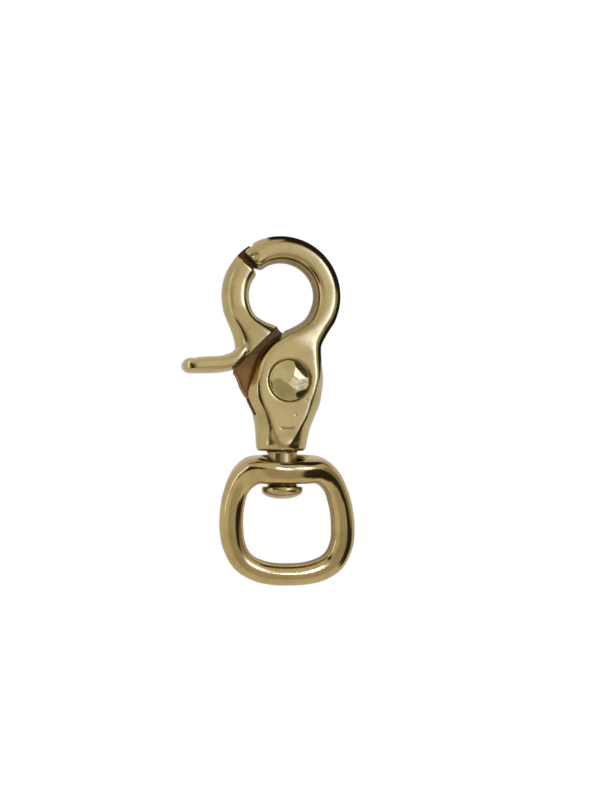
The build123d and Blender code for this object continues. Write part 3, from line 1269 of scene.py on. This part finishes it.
@dataclass(frozen=True)
class SoftBox:
    """Soft box over the hook: its place and sides in metres, and its brightness, where 1 is white."""

    name: str
    place: tuple[float, float, float]
    sides: Pair
    level: float

    def hang(self, aim: Vector, colour: Colour, only: Thing | None = None) -> None:
        """Hangs the box in the scene.

        Args:
            aim: the point it faces.
            colour: the light's colour.
            only: the one piece it shines on, or nothing for all.
        """
        data = bpy.data.lights.new(self.name, "AREA")
        data.shape = "RECTANGLE"
        data.size, data.size_y = self.sides
        data.energy = self.level * math.pi * self.sides[0] * self.sides[1]
        data.color = colour[:3]
        made = bpy.data.objects.new(self.name, data)
        bpy.context.scene.collection.objects.link(made)
        made.location = self.place
        made.rotation_euler = (aim - Vector(self.place)).to_track_quat("-Z", "Y").to_euler()
        if only:
            lit = bpy.data.collections.new(self.name)
            lit.objects.link(only)
            made.light_linking.receiver_collection = lit
        made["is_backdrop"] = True


@dataclass
class Studio:
    """Pale table, soft light and the camera.

    The table's two levels are what the camera sees and what the metal mirrors. The flat card lies
    on the table, and the curved one (radius, start and end angle) and the left one stand on edge.
    """

    yaw: float = 9.0
    pitch: float = -2.0
    lens: float = 100.0
    sensor: float = 36.0
    image_px: Pair = (600, 800)
    ring_centre_px: Pair = (281, 296)
    mm_per_pixel: float = 0.2375
    room_level: float = 0.71
    floor_level: float = 1.08
    mirrored_level: float = 0.78
    card_level: float = 0.02
    patches: tuple[Patch, ...] = (
        Patch(-90, 24, 16, 14, 0.5),
        Patch(-140, 14, 9, 12, 0.45),
        Patch(8, 12, 6, 9, 0.82),
        Patch(18, 29, 7, 9, 3.0),
        Patch(-5, 80, 18, 12, 0.36),
        Patch(-28, 47, 14, 6, 0.03),
        Patch(-30, 72, 14, 6, 0.03),
    )
    flat_card: tuple[Pair, ...] = (
        (-3, 16), (4, 13.2), (8, 11), (11, 8), (13, 4), (14, -2), (13, -7), (12, -14),
        (60, -30), (90, 10), (80, 70), (20, 80), (-6, 50),
    )
    curved_card: tuple[float, float, float] = (45, 8, 84)
    curved_heights: Pair = (-6, 48)
    left_card: tuple[Pair, Pair] = ((-44, -12), (-36, -46))
    left_heights: Pair = (18, 100)
    left_box: SoftBox = SoftBox("left_box", (-0.5, 0.1, 0.16), (0.5, 0.05), 2.0)
    eye_box: SoftBox = SoftBox("eye_box", (0.02, -0.012, 0.5), (0.16, 0.05), 21.0)
    box_aim: tuple[float, float, float] = (0, -0.025, 0)
    warm: Colour = (1.0, 0.84, 0.6, 1)
    white: Colour = (1, 1, 1, 1)
    grey: Colour = (0.9, 0.9, 0.9, 1)
    cool: Colour = (0.86, 1.02, 1.85, 1)

    def floor(self, height: float) -> None:
        """White table that keeps a faint shadow, and that the metal mirrors a little darker.

        Args:
            height: where it lies along Z, in metres.
        """
        form = bmesh.new()
        bmesh.ops.create_grid(form, x_segments=1, y_segments=1, size=3.0)
        bmesh.ops.translate(form, verts=form.verts, vec=(0, 0, height))
        made = stand_in(form, "table")
        material = bpy.data.materials.new("white_table")
        kit = NodeKit(material)
        path = kit.node("ShaderNodeLightPath").outputs
        camera, glossy, through = (
            Value(kit, path[f"Is {kind} Ray"]) for kind in ("Camera", "Glossy", "Transmission")
        )
        plain = kit.node("ShaderNodeBsdfDiffuse", {}, {"Color": self.grey}).outputs["BSDF"]
        glow = kit.glow(self.white, self.floor_level - glossy * (self.floor_level - self.mirrored_level))
        seen = (camera + glossy + through) * 0.9
        kit.surface(kit.node("ShaderNodeMixShader", {}, {0: seen, 1: plain, 2: glow}).outputs["Shader"])
        made.data.materials.append(material)
        made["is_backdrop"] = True

    def card(self, name: str, form: Form) -> None:
        """Dark card that only the metal sees.

        Args:
            name: the card's name.
            form: its form in millimetres, which is used up.
        """
        bmesh.ops.scale(form, vec=(MM, MM, MM), verts=form.verts)
        made = stand_in(form, name)
        material = bpy.data.materials.new(name)
        kit = NodeKit(material)
        kit.surface(kit.glow(self.warm, self.card_level))
        made.data.materials.append(material)
        made.visible_camera = False
        made.visible_diffuse = False
        made.visible_shadow = False
        made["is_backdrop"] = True

    def upright_card(self, name: str, foot: Sequence[Pair], heights: Pair) -> None:
        """Dark card that stands on edge.

        Args:
            name: the card's name.
            foot: the line it stands on.
            heights: where it starts and ends along Z.
        """
        form = bmesh.new()
        verts = [form.verts.new((x, y, heights[0])) for x, y in foot]
        edges = [form.edges.new(pair) for pair in zip(verts, verts[1:])]
        raised = bmesh.ops.extrude_edge_only(form, edges=edges)["geom"]
        raise_copy(form, raised, heights[1] - heights[0])
        self.card(name, form)

    def cards(self, height: float) -> None:
        """Dark cards round the hook: two on the right and one on the left.

        Args:
            height: where the table lies along Z, in metres.
        """
        flat = bmesh.new()
        flat.faces.new([flat.verts.new((x, y, height / MM + 1)) for x, y in self.flat_card])
        self.card("flat_card", flat)
        self.upright_card("curved_card", arc_points(*self.curved_card, 16), self.curved_heights)
        self.upright_card("left_card", self.left_card, self.left_heights)

    def room(self) -> None:
        """Room round the table: one level with the patches on it, and plain white to the camera."""
        world = bpy.data.worlds.new("room")
        bpy.context.scene.world = world
        kit = NodeKit(world)
        heading = kit.node("ShaderNodeTexCoord").outputs["Generated"]
        level: Any = self.room_level
        for patch in self.patches:
            outer, inner = (math.cos(math.radians(patch.radius + edge)) for edge in (patch.edge, 0))
            inputs = {0: heading, 1: patch.direction()}
            near = kit.value("ShaderNodeVectorMath", "Value", {"operation": "DOT_PRODUCT"}, inputs)
            level = near.ramped(outer, inner) * (patch.level - level) + level
        shade = kit.colour_mix(level.ramped(0.0, 0.7), self.warm, self.white)
        tint = kit.colour_mix(level.ramped(0.85, 1.3), shade, self.cool)
        seen = kit.value("ShaderNodeLightPath", "Is Camera Ray")
        colour = kit.colour_mix(seen, tint, self.white)
        inputs = {"Color": colour, "Strength": seen + (1.0 - seen) * level}
        back = kit.node("ShaderNodeBackground", {}, inputs).outputs["Background"]
        kit.node("ShaderNodeOutputWorld", {}, {"Surface": back})

    def camera(self) -> None:
        """Camera above the front face, a little to the left."""
        data = bpy.data.cameras.new("view")
        data.lens, data.sensor_width, data.sensor_fit = self.lens, self.sensor, "VERTICAL"
        data.sensor_height = self.sensor
        pixel = self.mm_per_pixel * MM
        distance = self.image_px[1] * pixel * self.lens / self.sensor
        yaw, pitch = math.radians(self.yaw), math.radians(self.pitch)
        flat = math.cos(pitch)
        out = Vector((-math.sin(yaw) * flat, math.sin(pitch), math.cos(yaw) * flat))
        right = Vector((0, 1, 0)).cross(out).normalized()
        up = out.cross(right)
        shift_x, shift_y = (
            (side / 2 - centre) * pixel for side, centre in zip(self.image_px, self.ring_centre_px)
        )
        target = right * shift_x - up * shift_y
        turn = Matrix((right, up, out)).transposed().to_4x4()
        made = bpy.data.objects.new("view", data)
        bpy.context.scene.collection.objects.link(made)
        made.matrix_world = Matrix.Translation(target + out * distance) @ turn
        bpy.context.scene.camera = made

    def build(self, lowest: float, eye: Thing) -> None:
        """Sets the whole stage.

        Args:
            lowest: the object's lowest point along Z, where the table lies.
            eye: the strap eye, which has a soft box of its own.
        """
        self.floor(lowest)
        self.cards(lowest)
        self.room()
        self.left_box.hang(Vector(self.box_aim), self.cool)
        self.eye_box.hang(Vector(self.box_aim), self.cool, eye)
        self.camera()
        bpy.context.scene.view_settings.view_transform = "Standard"


def main() -> None:
    """Builds every piece, then the stage."""
    logging.basicConfig(level=logging.INFO, format="%(message)s")
    cad_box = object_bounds()
    ring = RingBar()
    body = HookBody(ring).build(PolishedBrass("polished_brass_body"))
    gate = ThumbGate(ring).build(PolishedBrass("polished_brass_gate"))
    hammered = PolishedBrass(
        "hammered_brass", metal=(0.66, 0.55, 0.24, 1), roughness=0.13, tarnish_share=0.45, relief=0.45
    )
    rivet = PeenedRivet().build(hammered)
    bright = PolishedBrass("polished_brass_eye", metal=(0.6, 0.45, 0.185, 1), roughness=0.12)
    eye = StrapEye().build(bright)
    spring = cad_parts["gate_spring"]
    spring.data.materials.clear()
    spring.data.materials.append(SpringSteel("spring_steel").material())
    for piece in (body, gate, rivet, eye, spring):
        log.info("piece %s is in place", piece.name)
    Studio().build(cad_box[0][2], eye)


if __name__ == "__main__":
    main()
